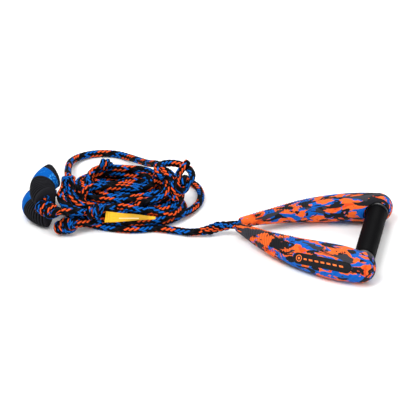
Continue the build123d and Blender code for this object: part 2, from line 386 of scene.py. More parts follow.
def hank_turns():
    """Control points of the wound rope: long flat turns whose strands fan and cross."""
    random = np.random.default_rng(11)
    rows = np.array(HANK_TURNS, dtype=float)
    rows[:, 4] += random.uniform(-2, 2, len(rows))
    points = []
    for index in range(len(rows)):
        following = rows[min(index + 1, len(rows) - 1)]
        for place in range(TURN_POINTS):
            share = max(0.0, (place / TURN_POINTS - 0.55) / 0.45)
            share = share * share * (3 - 2 * share)
            row = rows[index] * (1 - share) + following * share
            front_y, front_z, back_y, back_z, fan, short_left, short_right = row
            angle = math.radians(-45) - 2 * math.pi * place / TURN_POINTS
            c, s = math.cos(angle), math.sin(angle)
            along = math.copysign(abs(c) ** 0.66, c)
            across = (1 + math.copysign(abs(s) ** 0.85, s)) / 2
            half = HANK_HALF_LENGTH - (short_left if c < 0 else short_right)
            gather = 0.1 if c < 0 else 0.26
            y = front_y * (1 - across) + back_y * across
            points.append((
                HANK_MIDDLE_X + half * along,
                HANK_MIDDLE_Y + (y - HANK_MIDDLE_Y) * (1 - gather * along ** 2)
                + fan * along * (1 - 2 * across),
                (front_z * (1 - across) + back_z * across) * (1 - 0.08 * along ** 4),
            ))
    points = np.array(points)
    count = np.arange(len(points))
    for axis, size, phase in ((1, 1.8, 0.3), (2, 1.0, 1.7), (1, 1.3, 4.0), (0, 2.0, 2.2)):
        wave = TURN_POINTS * random.uniform(0.27, 0.6)
        points[:, axis] += size * np.sin(2 * np.pi * count / wave + phase)
    return points


def eased(points, tightest):
    """Evenly spaced points with the bends tighter than a radius drawn towards straight."""
    limit = SETTLED_STEP ** 2 / (2 * tightest)
    middle = (points[:-2] + points[2:]) / 2
    bow = np.linalg.norm(points[1:-1] - middle, axis=1) + 1e-9
    share = np.clip((bow - limit) / bow, 0, 0.5)[:, None]
    points = points.copy()
    points[1:-1] += share * (middle - points[1:-1])
    return points


def without_folds(points):
    """The same line without the points, 60 at most, at which it bends too tightly."""
    for _ in range(60):
        way = np.diff(points, axis=0)
        lengths = np.linalg.norm(way, axis=1)
        way /= lengths[:, None]
        turn = np.arccos(np.clip((way[:-1] * way[1:]).sum(1), -1, 1)) + 1e-6
        radius = (lengths[:-1] + lengths[1:]) / 2 / turn
        if radius.min() > FOLD_BEND:
            break
        points = np.delete(points, int(radius.argmin()) + 1, axis=0)
    return points


def settle(points, rounds=130):
    """Turns that touch are pushed a rope's width apart and sink onto one another."""
    gap = 0.95 * ROPE_DIA / MM
    floor = ROPE_DIA / MM / 2
    points = even_line(points, SETTLED_STEP)
    count = np.arange(len(points))
    apart = np.abs(count[:, None] - count[None]) > 3
    held = count < HELD_POINTS
    start = points.copy()
    for turn in range(rounds):
        if turn < rounds * 0.5:
            points[:, 2] -= 0.08
        offset = points[:, None] - points[None]
        distance = np.sqrt((offset ** 2).sum(-1)) + 1e-9
        touching = apart & (distance < gap)
        push = np.where(touching, (gap - distance) / 2, 0) / distance
        share = np.sqrt(np.maximum(touching.sum(1), 1))
        points += (offset * push[..., None]).sum(1) / share[:, None]
        points[1:-1] += 0.06 * ((points[:-2] + points[2:]) / 2 - points[1:-1])
        points = eased(points, SETTLING_BEND)
        pieces = np.diff(points, axis=0)
        lengths = np.linalg.norm(pieces, axis=1)
        mend = ((lengths - SETTLED_STEP) / lengths / 2)[:, None] * pieces
        points[:-1] += mend / 2
        points[1:] -= mend / 2
        points[:, 2] = np.maximum(points[:, 2], floor)
        points[held] = start[held]
    for _ in range(3):
        points = without_folds(even_line(points, SETTLED_STEP))
        points = eased(even_line(points, SETTLED_STEP), FINAL_BEND)
    points[:, 2] = np.maximum(points[:, 2], floor)
    return points


# ---- rope routes ----------------------------------------------------------------
LEAD_ROUTE = [(-166, -12, 9), (-186, -19, 7), (-208, -17, 7), (-229, -9, 9.5)]
ARCH_ROUTE = [
    (-402, 46, 36), (-418, 87, 30), (-432, 138, 20), (-438, 178, 10), (-426, 206, 6.8),
    (-402, 221, 6.4), (-372, 225, 6.4), (-344, 212, 8), (-318, 180, 20), (-291, 132, 42),
    (-266, 90, 66), (-247, 62, 67), (-231, 44, 57),
]
BOAT_LOOP_ROUTE = [
    (-262, 2, 33), (-244, -1, 26), (-225, 12, 16), (-206, 43, 8), (-195, 82, 6.4),
    (-201, 118, 6.2), (-218, 146, 6.2), (-250, 162, 6.4), (-282, 152, 8), (-300, 122, 12),
]
SMALL_LOOP_ROUTE = [
    (-247, 52, 61), (-261, 60, 66), (-264, 78, 69), (-247, 92, 69), (-224, 92, 67),
    (-207, 80, 62), (-205, 61, 55), (-218, 48, 49),
]
TAIL_ROUTE = [(-223, 28, 34), (-228, 42, 45), (-229, 56, 56), (-226, 72, 66), (-217, 90, 74)]
BIGHT_ROUTE = [
    (-263, 57, 58), (-261, 66, 64), (-251, 70, 67), (-239, 62, 66), (-229, 54, 60),
    (-222, 46, 52),
]
LINK_ROUTE = [
    (-394, -67, 47), (-375, -57, 43), (-357, -40, 35), (-340, -20, 29), (-314, -5, 31),
    (-290, -4, 32),
]
STRAP_ROUTE = [
    (-398, 8, 66), (-393, -11, 60), (-397, -27, 55), (-391, -40, 49), (-375, -45, 41),
    (-354, -38, 34),
]
SECOND_STRAP_ROUTE = [
    (-388, 12, 66), (-384, -5, 61), (-382, -19, 55), (-374, -28, 48), (-362, -30, 41),
    (-342, -22, 34),
]
TETHER_ROUTE = [
    (-374, -54, 18), (-358, -43, 16), (-342, -29, 14), (-324, -17, 13), (-302, -12, 12),
]


def metres(points):
    return [tuple(value * MM for value in point) for point in points]


def add_rope(name, route, material, start, nodes):
    """A rope along control points in millimetres."""
    line = smooth_line(name, metres(route))
    rope, path = rope_mesh(name, line, ROPE_DIA, material, start)
    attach(rope, "rope")
    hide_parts(*nodes)


# Each knot: its centre, axis, wraps' radius, turns and spacing, how far they lean, how tall
# they are, its rope's diameter, where the braid's colours start, and the CAD node it replaces.
KNOTS = {
    "front": ((-403.4, -67.5, 48.5), (0.9, -0.1, -0.35), 8.4, 3.4, 8.2, 0.6, 1.0, 9.4, 0.15, "front_knot"),
    "upper": ((-390.5, -5.5, 59.5), (0.25, -0.86, 0.42), 6.0, 2.7, 6.0, 0.3, 2.1, 9.5, 0.55, "upper_knot"),
    "lower": ((-379, -54, 16), (0.95, 0.1, 0.15), 8.6, 3.6, 7.2, 0.6, 1.0, 9.6, 0.3, "lower_knot"),
    "top": ((-350, 76, 62), (0.75, 0.3, -0.55), 6.4, 2.3, 7.2, 0.4, 1.0, 8.4, 0.4, "top_knot"),
    "loop": ((-223, 46, 51), (0.8, 0.3, 0.5), 10.0, 3.3, 8.6, 0.6, 1.0, 10.5, 0.0, "loop_knot"),
    "gather": ((-338, -30, 33), (0.85, 0.5, -0.1), 8.5, 2.4, 9.0, 0.6, 1.0, 9.5, 0.7, None),
}


def scaled(*values):
    return tuple(value * MM for value in values)


def wrap_line(centre, axis, radius, turns, spacing, lean, tall):
    """A rope's middle line wound round an axis, with its ends tucked in."""
    axis = Vector(axis).normalized()
    side = Vector((0.0, 0.0, 1.0)).cross(axis).normalized()
    up = axis.cross(side)
    count = int(turns * 28)
    line = []
    for i in range(count + 1):
        share = i / count
        angle = 2 * math.pi * turns * share + 0.6
        tuck = min(1.0, share * turns * 2.2, (1 - share) * turns * 2.2)
        reach = radius * (0.35 + 0.65 * tuck)
        along = (share - 0.5) * turns * spacing + lean * radius * math.cos(angle)
        point = Vector(centre) + axis * along
        line.append(point + side * (reach * math.cos(angle)) + up * (reach * tall * math.sin(angle)))
    return np.array(line)


def add_piece(name, line, diameter, material, start, node):
    """A piece of a knot, drawn as the rope that it is tied in."""
    piece, _ = rope_mesh(name, line, diameter * MM, material, start, sides=16, step=1.2 * MM)
    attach(piece, "rope")
    if node:
        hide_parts(node)
    return piece


def build_knot(name, braid):
    centre, axis, radius, turns, spacing, lean, tall, diameter, start, node = KNOTS[name]
    line = wrap_line(scaled(*centre), axis, radius * MM, turns, spacing * MM, lean, tall)
    return add_piece(f"{name}_knot_rope", line, diameter, braid, start, node)


def build_ropes(braid):
    knots = {name: build_knot(name, braid) for name in KNOTS if name != "gather"}
    bight_line = smooth_line("bight", metres(BIGHT_ROUTE))
    bight = add_piece("loop_bight_rope", bight_line, 10.5, braid, 0.75, None)
    knots["gather"] = build_knot("gather", braid)
    # The lead runs straight into the hank, past its own last point and the held ones.
    wound = settle(hank_turns())
    route = LEAD_ROUTE[:-1] + [tuple(point) for point in wound[HELD_POINTS:]]
    add_rope("main_rope", route, braid, 0.0, ["rope_hank", "rope_lead"])
    add_rope("arch_rope", ARCH_ROUTE, braid, 0.3, ["rope_arch"])
    add_rope("boat_loop_rope", BOAT_LOOP_ROUTE, braid, 0.1, ["boat_loop"])
    add_rope("small_loop_rope", SMALL_LOOP_ROUTE, braid, 0.6, ["small_loop"])
    add_rope("tail_rope", TAIL_ROUTE, braid, 0.8, ["rope_tail"])
    add_rope("link_rope", LINK_ROUTE, braid, 0.5, ["rope_link"])
    add_rope("strap_rope", STRAP_ROUTE, braid, 0.2, ["rope_strap"])
    add_rope("second_strap_rope", SECOND_STRAP_ROUTE, braid, 0.9, ["second_strap"])
    add_rope("tether_rope", TETHER_ROUTE, braid, 0.35, ["rope_tether"])


# ---- splice behind the nose -----------------------------------------------------
SPLICE_MIDDLE = [
    (-172, -14.5, 8.2), (-166, -12, 9), (-156, -7, 11.5), (-145, -2.5, 14), (-134, 0, 16.3),
    (-124, 0, 18.3),
]
SPLICE_STRANDS = 3


def build_splice(braid):
    """The bridle's two legs and the main rope's end, laid round each other."""
    middle = even_line(smooth_line("splice", metres(SPLICE_MIDDLE)), 1.5 * MM)
    _, side, up = carried_frames(middle)
    for strand in range(SPLICE_STRANDS):
        share = np.linspace(0, 1, len(middle))
        angle = 2 * math.pi * (strand / SPLICE_STRANDS + 1.9 * share)
        radius = (2.6 + 2.2 * np.sin(np.pi * np.clip(share * 1.15, 0, 1)) ** 0.7) * MM
        line = middle + (radius * np.cos(angle))[:, None] * side + (radius * np.sin(angle))[:, None] * up
        if strand < 2:
            way = 1 if strand == 0 else -1
            nose = np.array(metres(
                [(-117.5, 4.5 * way, 19.2), (-112, 8.6 * way, 19.6), (-105, 13.0 * way, 19.7)]))
            line = smooth_line("leg", [tuple(p) for p in np.concatenate([line[:-3:4], nose])])
        piece, _ = rope_mesh(f"splice_strand_{strand + 1}", line, 8.8 * MM, braid, 0.3 * strand,
                             sides=16, step=1.2 * MM)
        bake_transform(piece)
        if strand == 0:
            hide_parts("bridle_splice")


# ---- foam arms ------------------------------------------------------------------
BAR_X = 92.3
BAR_Z = 23.1
ARM_END = 22.2
# Distance along X, centre's Y, half width, half thickness, tilt, lift and heading.
ARM_SECTIONS = np.array([
    (-108.0, 11.9, 8.4, 8.3, 37.5, 11.4, 35.0), (-70.0, 37.9, 14.9, 12.2, 31.0, 6.7, 32.0),
    (-30.0, 60.2, 21.0, 17.3, 25.5, 2.8, 26.0), (15.0, 78.2, 26.5, 21.4, 20.0, 0.1, 19.0),
    (60.0, 91.1, 29.6, 22.6, 15.0, 0.0, 13.0), (BAR_X, 97.1, 25.2, 23.0, 11.3, 0.0, 5.0),
])
ARM_SIDES = 96


def smooth_rows(rows, places):
    """Rows interpolated along their first column by a smooth curve through them all."""
    x, values = rows[:, 0], rows[:, 1:]
    slopes = np.gradient(values, x, axis=0)
    index = np.clip(np.searchsorted(x, places) - 1, 0, len(x) - 2)
    width = (x[index + 1] - x[index])[:, None]
    t = ((places - x[index]) / (x[index + 1] - x[index]))[:, None]
    return (
        (2 * t ** 3 - 3 * t ** 2 + 1) * values[index] + (t ** 3 - 2 * t ** 2 + t) * width * slopes[index]
        + (3 * t ** 2 - 2 * t ** 3) * values[index + 1] + (t ** 3 - t ** 2) * width * slopes[index + 1]
    )


def arm_rings():
    """Rings of the rear arm from the hole in its nose to its rounded end, in mm."""
    along = np.linspace(ARM_SECTIONS[0, 0], BAR_X, 200)
    rows = np.column_stack([along, smooth_rows(ARM_SECTIONS, along)])
    sections = []
    x, y, width, height, tilt, lift, heading = rows[0]
    turn = math.radians(heading)
    rise = math.hypot(width * math.sin(math.radians(tilt)), height * math.cos(math.radians(tilt)))
    for back, share in ((2.0, 0.52), (5.0, 0.56), (7.2, 0.64), (8.0, 0.76), (6.8, 0.88),
                        (4.8, 0.95), (2.4, 0.99)):
        sections.append((x - back * math.cos(turn), y - back * math.sin(turn),
                         width * share, height * share, tilt, rise + lift, heading))
    for x, y, width, height, tilt, lift, heading in rows:
        rise = math.hypot(width * math.sin(math.radians(tilt)), height * math.cos(math.radians(tilt)))
        sections.append((x, y, width, height, tilt, rise + lift, heading))
    x, y, width, height, tilt, centre, heading = sections[-1]
    for angle in np.radians(np.linspace(4, 88, 26)):
        share, reach = math.cos(angle), math.sin(angle)
        sections.append((x + ARM_END * reach, y - 1.5 * reach, width * share, height * share,
                         tilt, centre, heading - 10 * reach))
    around = 2 * np.pi * np.arange(ARM_SIDES) / ARM_SIDES
    rings = []
    for x, y, width, height, tilt, centre, heading in sections:
        turn, lean = math.radians(heading), math.radians(tilt)
        forward = np.array((math.cos(turn), math.sin(turn), 0))
        outward = np.array((-math.sin(turn), math.cos(turn), 0))
        wide = outward * math.cos(lean) - np.array((0, 0, 1)) * math.sin(lean)
        high = np.cross(forward, wide)
        high *= math.copysign(1, high[2])
        ring = (np.array((x, y, centre)) + np.cos(around)[:, None] * wide * width
                + np.sin(around)[:, None] * high * height)
        rings.append(ring)
    return np.array(rings)


RIDGE_DEPTH = 0.65
RIDGE_SPACING = 4.2


def ridge_heights(rings):
    """Low curved ridges pressed across the top of the arm's nose half."""
    x = rings[..., 0]
    up = np.sin(2 * np.pi * np.arange(ARM_SIDES) / ARM_SIDES)[None, :]
    top = np.clip((up - 0.1) / 0.5, 0, 1)
    start = np.clip((x + 102) / 8, 0, 1)
    end = np.clip((-8 - x) / 14, 0, 1)
    bow = 7.0 * (1 - up ** 2)
    wave = 0.5 + 0.5 * np.cos(2 * np.pi * (x - bow) / RIDGE_SPACING)
    return 2 * RIDGE_DEPTH * top * start * end * (wave ** 0.8 - 0.5)


def cut_socket(arm, way):
    """Cuts the bar's socket, with a rounded mouth, into an arm."""
    profile = [(20.6, 60.0), (20.6, 70.0), (18.5, 76.0), (18.2, 80.0), (18.2, 92.5)]
    sides = 72
    vertices = []
    for radius, place in profile:
        for i in range(sides):
            angle = 2 * math.pi * i / sides
            vertices.append(scaled(
                BAR_X + radius * math.cos(angle), place * way, BAR_Z + radius * math.sin(angle)))
    cutter = new_object("socket_cutter", vertices, tube_faces(len(profile), sides), arm.data.materials[0])
    if way > 0:
        cutter.data.flip_normals()
    modifier = arm.modifiers.new("socket", "BOOLEAN")
    modifier.object = cutter
    modifier.operation = "DIFFERENCE"
    modifier.solver = "EXACT"
    depsgraph = bpy.context.evaluated_depsgraph_get()
    mesh = bpy.data.meshes.new_from_object(arm.evaluated_get(depsgraph))
    arm.modifiers.clear()
    arm.data = mesh
    bpy.data.objects.remove(cutter)


def build_arms(foam):
    rings = arm_rings()
    centres = rings.mean(axis=1, keepdims=True)
    outward = rings - centres
    outward /= np.linalg.norm(outward, axis=2, keepdims=True) + 1e-9
    heights = ridge_heights(rings)
    # How deep each point lies in a ridge's groove, kept as an attribute for the painted shade in the camo
    # material.
    crease_shade_amounts = np.clip(-heights / RIDGE_DEPTH, 0, 1)
    rings = rings + outward * heights[..., None]
    faces = tube_faces(len(rings), ARM_SIDES)
    arms = []
    for name, way in (("rear_arm", 1), ("front_arm", -1)):
        vertices = (rings * (1, way, 1)).reshape(-1, 3) * MM
        arm = new_object(name, vertices, faces, foam)
        painted_crease_shade = arm.data.attributes.new("painted_crease_shade", "FLOAT", "POINT")
        painted_crease_shade.data.foreach_set("value", crease_shade_amounts.reshape(-1).astype(np.float32))
        if way > 0:
            arm.data.flip_normals()
        cut_socket(arm, way)
        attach(arm, "handle")
        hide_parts(f"{name}_foam")
        arms.append(arm)
    return arms


def camo_material():
    """Marbled foam: orange with streaked patches of blue, black and charcoal, and painted shade in the
    arms' ridge grooves.
    """
    n = Nodes("camo_foam")
    place = n.add("ShaderNodeTexCoord").outputs["Object"]
    split = n.add("ShaderNodeSeparateXYZ")
    n.link(place, split.inputs[0])
    # Each arm's own direction, so that patches run along it.
    side = n.math("SIGN", split.outputs[1])
    reach = n.math("ABSOLUTE", split.outputs[1])
    along = n.math("ADD", n.math("MULTIPLY", split.outputs[0], 0.91), n.math("MULTIPLY", reach, 0.41))
    across = n.math("SUBTRACT", n.math("MULTIPLY", reach, 0.91), n.math("MULTIPLY", split.outputs[0], 0.41))
    join = n.add("ShaderNodeCombineXYZ")
    n.link(n.math("MULTIPLY_ADD", side, 0.37, n.math("MULTIPLY", along, 0.45)), join.inputs[0])
    n.link(across, join.inputs[1])
    n.link(split.outputs[2], join.inputs[2])

    def patches(offset, scale, level, distortion):
        shift = n.add("ShaderNodeVectorMath", operation="ADD")
        n.link(join.outputs[0], shift.inputs[0])
        shift.inputs[1].default_value = offset
        field = n.noise(shift.outputs[0], scale, 2.6, distortion, 0.55)
        return n.ramp(field, [(level - 0.004, (0, 0, 0, 1)), (level + 0.004, (1, 1, 1, 1))])

    mottle = n.noise(place, 900.0, 4.0)
    grain = n.noise(place, 260.0, 3.0)
    tone = n.math("MULTIPLY_ADD", grain, 0.25, 0.87)
    orange = n.mix(grain, (0.80, 0.105, 0.014, 1), (0.88, 0.155, 0.024, 1))
    ember = n.mix(grain, (0.66, 0.05, 0.008, 1), (0.76, 0.085, 0.012, 1))
    blue = n.mix(grain, (0.0, 0.075, 0.38, 1), (0.003, 0.13, 0.56, 1))
    black = n.mix(mottle, (0.004, 0.004, 0.006, 1), (0.012, 0.012, 0.016, 1))
    charcoal = n.mix(mottle, (0.018, 0.017, 0.022, 1), (0.05, 0.047, 0.06, 1))
    colour = n.mix(patches((0.9, 0.6, 0.1), 40.0, 0.60, 0.8), orange, ember)
    colour = n.mix(patches((0.3, 0.1, 0.2), 50.0, 0.50, 1.3), colour, blue)
    colour = n.mix(patches((0.7, 0.4, 0.9), 56.0, 0.53, 1.5), colour, black)
    colour = n.mix(patches((0.1, 0.8, 0.5), 38.0, 0.60, 0.6), colour, charcoal)
    # Painted shade: the tone is darkened by up to 60 % in the ridges' grooves.
    painted_crease_shade = n.add("ShaderNodeAttribute", attribute_name="painted_crease_shade").outputs["Fac"]
    tone = n.math("MULTIPLY", tone, n.math("MULTIPLY_ADD", painted_crease_shade, -0.6, 1.0))
    shade = n.add("ShaderNodeMix", data_type="RGBA", blend_type="MULTIPLY")
    shade.inputs["Factor"].default_value = 1.0
    n.link(colour, shade.inputs[6])
    n.link(tone, shade.inputs[7])
    normal = n.bump(mottle, 0.35, 0.25 * MM)
    normal = n.bump(grain, 0.25, 0.5 * MM, normal)
    return n.finish(shade.outputs[2], 0.62, normal, Specular_IOR_Level=0.12)


# ---- grip bar -------------------------------------------------------------------
def build_bar(rubber):
    """The bar's rubber sleeve, with a raised ring and a rounded rim at each end."""
    half = [
        (12.9, 75.0), (15.6, 75.0), (16.2, 74.7), (16.5, 74.1), (16.5, 71.6), (15.9, 71.2),
        (15.9, 70.2), (16.5, 69.8), (16.5, 66.0), (16.35, 62.0), (16.45, 40.0), (16.5, 0.0),
    ]
    profile = half + [(radius, -place) for radius, place in reversed(half[:-1])]
    sides = 96
    vertices = []
    for radius, place in profile:
        for i in range(sides):
            angle = 2 * math.pi * i / sides
            vertices.append(scaled(
                BAR_X + radius * math.cos(angle), place, BAR_Z + radius * math.sin(angle)))
    faces = tube_faces(len(profile), sides)[:-2]
    inner = [(len(profile) - 1) * sides + i for i in range(sides)]
    faces += [(i, (i + 1) % sides, inner[(i + 1) % sides], inner[i]) for i in range(sides)]
    bar = new_object("grip_sleeve", vertices, faces, rubber)
    bevel = bar.modifiers.new("bevel", "BEVEL")
    bevel.width = 0.25 * MM
    bevel.segments = 2
    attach(bar, "bar")
    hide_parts("bar_grip")


def rubber_material():
    n = Nodes("grip_rubber")
    place = n.add("ShaderNodeTexCoord").outputs["Object"]
    grain = n.noise(place, 700.0, 4.0)
    wear = n.noise(place, 45.0, 3.0)
    stretch = n.add("ShaderNodeMapping")
    stretch.inputs["Scale"].default_value = (60.0, 900.0, 60.0)
    n.link(place, stretch.inputs[0])
    lines = n.noise(stretch.outputs[0], 1.0, 2.0)
    colour = n.mix(wear, (0.0015, 0.0015, 0.002, 1), (0.003, 0.003, 0.0035, 1))
    roughness = n.math("MULTIPLY_ADD", wear, 0.2, 0.42)
    normal = n.bump(grain, 0.25, 0.2 * MM)
    normal = n.bump(lines, 0.2, 0.3 * MM, normal)
    return n.finish(colour, roughness, normal, Specular_IOR_Level=0.015)


def plain_material(name, dark, light, roughness, metallic=0.0, bump=0.25, scale=400.0):
    """Moulded plastic or metal with a fine grain and uneven gloss."""
    n = Nodes(name)
    place = n.add("ShaderNodeTexCoord").outputs["Object"]
    grain = n.noise(place, scale, 4.0)
    cloud = n.noise(place, scale / 12, 2.0)
    colour = n.mix(cloud, dark, light)
    gloss = n.math("MULTIPLY_ADD", cloud, 0.2, roughness - 0.1)
    normal = n.bump(grain, bump, 0.2 * MM)
    return n.finish(colour, gloss, normal, Metallic=metallic)


# ---- badge ----------------------------------------------------------------------
BADGE_CENTRE = (33.0, -108.0, 30.0)
BADGE_ALONG = (0.955, -0.288, 0.07)
BADGE_FACING = (-0.267, -0.745, 0.583)
BADGE_LENGTH = 97.0
BADGE_HEIGHT = 17.0


def build_badge(arm, material):
    """A raised rubber badge with a rim that follows the arm's outer side."""
    tree = BVHTree.FromObject(arm, bpy.context.evaluated_depsgraph_get())
    facing = Vector(BADGE_FACING).normalized()
    along = Vector(BADGE_ALONG)
    along = (along - facing * along.dot(facing)).normalized()
    across = facing.cross(along)
    columns, rows = 190, 40
    end = BADGE_HEIGHT / 2
    straight = BADGE_LENGTH / 2 - end
    vertices, uvs = [], []
    for i in range(columns + 1):
        u = (i / columns - 0.5) * BADGE_LENGTH
        past = max(abs(u) - straight, 0.0)
        limit = math.sqrt(max(end ** 2 - past ** 2, 0.0)) + 0.02
        for j in range(rows + 1):
            v = (2 * j / rows - 1) * limit
            inside = end - math.hypot(past, v)
            rim = math.exp(-((inside - 1.3) / 0.6) ** 2)
            edge = min(1.0, max(inside, 0.0) / 0.5)
            height = -0.6 + (1.6 + 0.45 * rim) * math.sqrt(edge)
            start = Vector(scaled(*BADGE_CENTRE)) + (along * u + across * v) * MM + facing * 0.04
            hit, _, _, _ = tree.ray_cast(start, -facing)
            vertices.append(hit + facing * height * MM)
            uvs.append((u / BADGE_HEIGHT, v / BADGE_HEIGHT))
    faces = []
    for i in range(columns):
        for j in range(rows):
            a = i * (rows + 1) + j
            faces.append((a, a + rows + 1, a + rows + 2, a + 1))
    badge = new_object("arm_badge", vertices, faces, material)
    layer = badge.data.uv_layers.new(name="badge")
    for loop in badge.data.loops:
        layer.data[loop.index].uv = uvs[loop.vertex_index]
    solid = badge.modifiers.new("thickness", "SOLIDIFY")
    solid.thickness = 1.2 * MM
    solid.offset = -1.0
    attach(badge, "handle")
    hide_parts("badge_patch")


def badge_material():
    """Black rubber with a plain orange ring and a row of orange bars."""
    n = Nodes("badge_rubber")
    uv = n.add("ShaderNodeUVMap", uv_map="badge").outputs[0]
    place = n.add("ShaderNodeTexCoord").outputs["Object"]
    split = n.add("ShaderNodeSeparateXYZ")
    n.link(uv, split.inputs[0])
    u, v = split.outputs[0], split.outputs[1]
    du = n.math("ADD", u, 2.2)
    reach = n.math("SQRT", n.math("ADD", n.math("MULTIPLY", du, du), n.math("MULTIPLY", v, v)))
    ring = n.math("COMPARE", reach, 0.265, 0.035)
    dot = n.math("LESS_THAN", reach, 0.11)
    bar_place = n.math("FRACT", n.math("MULTIPLY", n.math("ADD", u, n.math("MULTIPLY", v, 0.45)), 1.7))
    bars = n.math("MULTIPLY", n.math("LESS_THAN", bar_place, 0.62), n.math("COMPARE", v, 0.0, 0.075))
    span = n.math("COMPARE", u, 0.3, 2.0)
    bars = n.math("MULTIPLY", bars, span)
    mark = n.math("MAXIMUM", n.math("MAXIMUM", ring, dot), bars)
    grain = n.noise(place, 700.0, 4.0)
    black = n.mix(grain, (0.007, 0.007, 0.008, 1), (0.02, 0.02, 0.023, 1))
    colour = n.mix(mark, black, (0.90, 0.19, 0.04, 1))
    normal = n.bump(grain, 0.3, 0.2 * MM)
    normal = n.bump(mark, 0.5, 0.4 * MM, normal)
    return n.finish(colour, 0.5, normal, Specular_IOR_Level=0.04)


# ---- floats ---------------------------------------------------------------------
FLOAT_RADIUS = 38.0
# Each float's arc centre, how far its far side is raised, its parts and its rope, in degrees.
FLOATS = {
    "upper": ((-387.0, -23.0, 66.0), 15.0, (129.3, 234.0), {
        "tip": (134.0, 150.0), "band": (150.0, 178.0), "grip": (178.0, 228.0)}),
    "lower": ((-410.0, 4.0, 20.5), 0.0, (110.0, 272.0), {
        "tip": (118.0, 176.0), "band": (176.0, 214.0), "grip": (214.0, 266.0)}),
}
FLOAT_SIDES = 88
FLOAT_BODY = 20.0            # radius of a float's cross-section
FLOAT_ROUNDING = 4.0         # radius of its rounded ends
FLOAT_HOLE = (6.4, 7.0, 12.0)  # radii of the rings from its hole to its end face's edge


def float_relief(part, along, around):
    """Ribs on the grip, crossed grooves on the tip and a fine grid on the band, in mm."""
    if part == "grip":
        return -1.2 * np.clip(np.cos(2 * np.pi * along / 3.6) + 0.1, 0, 1) + 0 * around
    if part == "tip":
        first = np.cos(2 * np.pi * (along / 5.2) + 20 * around)
        second = np.cos(2 * np.pi * (along / 5.2) - 20 * around)
        return -0.7 * np.clip(np.maximum(first, second) - 0.55, 0, 1) / 0.45
    bumps = np.cos(2 * np.pi * along / 2.6) * np.cos(24 * around)
    return 0.25 * bumps - 0.1


def build_float(name, place, parts, foam, band):
    """Segments of a bent foam float, each with its own relief."""
    centre, tilt = place
    last = max(end for _, end in parts.values())
    first = min(start for start, _ in parts.values())
    around = 2 * np.pi * np.arange(FLOAT_SIDES) / FLOAT_SIDES
    for part, (start, end) in parts.items():
        open_start, open_end = start == first, end == last
        steps = int(math.radians(end - start) * FLOAT_RADIUS / 0.5)
        rings, depths = [], []

        def ring(angle, radius, relief):
            out, up = float_axes(math.radians(angle), tilt)
            reach = radius + relief
            rings.append(np.array(centre) + FLOAT_RADIUS * out
                         + (reach * np.cos(around))[:, None] * out
                         + (reach * np.sin(around))[:, None] * up)
            depths.append(relief + 0 * around)

        if open_start:
            for radius in FLOAT_HOLE:
                ring(start, radius, 0)
        for angle in np.linspace(start, end, steps + 1):
            to_start = math.radians(angle - start) * FLOAT_RADIUS
            to_end = math.radians(end - angle) * FLOAT_RADIUS
            edge = min(to_start if open_start else 99, to_end if open_end else 99)
            seam = min(to_start, to_end)
            radius = FLOAT_BODY - 0.45 * math.exp(-(seam / 0.5) ** 2)
            if edge < FLOAT_ROUNDING:
                bulge = math.sqrt(max(FLOAT_ROUNDING ** 2 - (FLOAT_ROUNDING - edge) ** 2, 0.0))
                radius = FLOAT_BODY - FLOAT_ROUNDING + bulge
            relief = float_relief(part, math.radians(angle) * FLOAT_RADIUS, around)
            ring(angle, radius, relief * min(1.0, max(seam - 0.4, 0) / 1.2))
        if open_end:
            for radius in reversed(FLOAT_HOLE):
                ring(end, radius, 0)
        vertices = np.array(rings).reshape(-1, 3) * MM
        body = new_object(f"{name}_{part}_foam", vertices, tube_faces(len(rings), FLOAT_SIDES),
                          band if part == "band" else foam)
        body.data.flip_normals()
        # The relief depths go to the material, which paints shade into the grooves from them.
        depth = body.data.attributes.new("relief", "FLOAT", "POINT")
        depth.data.foreach_set("value", np.array(depths).reshape(-1).astype(np.float32))
        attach(body, f"{name}_float")
        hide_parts(f"{name}_float_{part}")


def float_axes(angle, tilt):
    """Outward and upward directions of a tilted arc at an angle round it."""
    lean = math.radians(tilt)
    out = np.array((math.cos(angle), math.sin(angle) * math.cos(lean), math.sin(angle) * math.sin(lean)))
    return out, np.array((0.0, -math.sin(lean), math.cos(lean)))


def build_floats(foam, band, braid):
    for name, (centre, tilt, (start, end), parts) in FLOATS.items():
        build_float(name, (centre, tilt), parts, foam, band)
        line = [np.array(centre) + FLOAT_RADIUS * float_axes(angle, tilt)[0]
                for angle in np.radians(np.linspace(start, end, 60))]
        rope, _ = rope_mesh(f"{name}_inner_rope", np.array(line) * MM, 11.6 * MM, braid, 0.4)
        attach(rope, "rope")
        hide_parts(f"{name}_float_rope")


def foam_material(name, dark, light, groove, flecks=None):
    """Matt foam with painted shade darkening its grooves, and flecked where a second colour is given."""
    n = Nodes(name)
    place = n.add("ShaderNodeTexCoord").outputs["Object"]
    grain = n.noise(place, 900.0, 4.0)
    cloud = n.noise(place, 90.0, 3.0)
    colour = n.mix(cloud, dark, light)
    if flecks:
        spots = n.noise(place, 330.0, 1.0)
        patch = n.noise(place, 60.0, 1.0)
        spots = n.math("MULTIPLY", n.math("GREATER_THAN", spots, 0.56), n.math("GREATER_THAN", patch, 0.5))
        colour = n.mix(n.math("MULTIPLY", spots, 0.7), colour, flecks)
    # Painted shade: the deeper a groove of the relief, the nearer the colour comes to the groove colour.
    relief = n.add("ShaderNodeAttribute", attribute_name="relief").outputs["Fac"]
    depth = n.math("MULTIPLY", relief, -1.0 / 0.9)
    colour = n.mix(depth, colour, groove)
    normal = n.bump(grain, 0.4, 0.25 * MM)
    return n.finish(colour, 0.75, normal, Specular_IOR_Level=0.04)


# ---- label ----------------------------------------------------------------------
LABEL_CENTRE = (-284.0, -22.9, 24.2)
LABEL_LENGTH = 80.0
LABEL_HALF_WIDTHS = (10.0, 2.0)


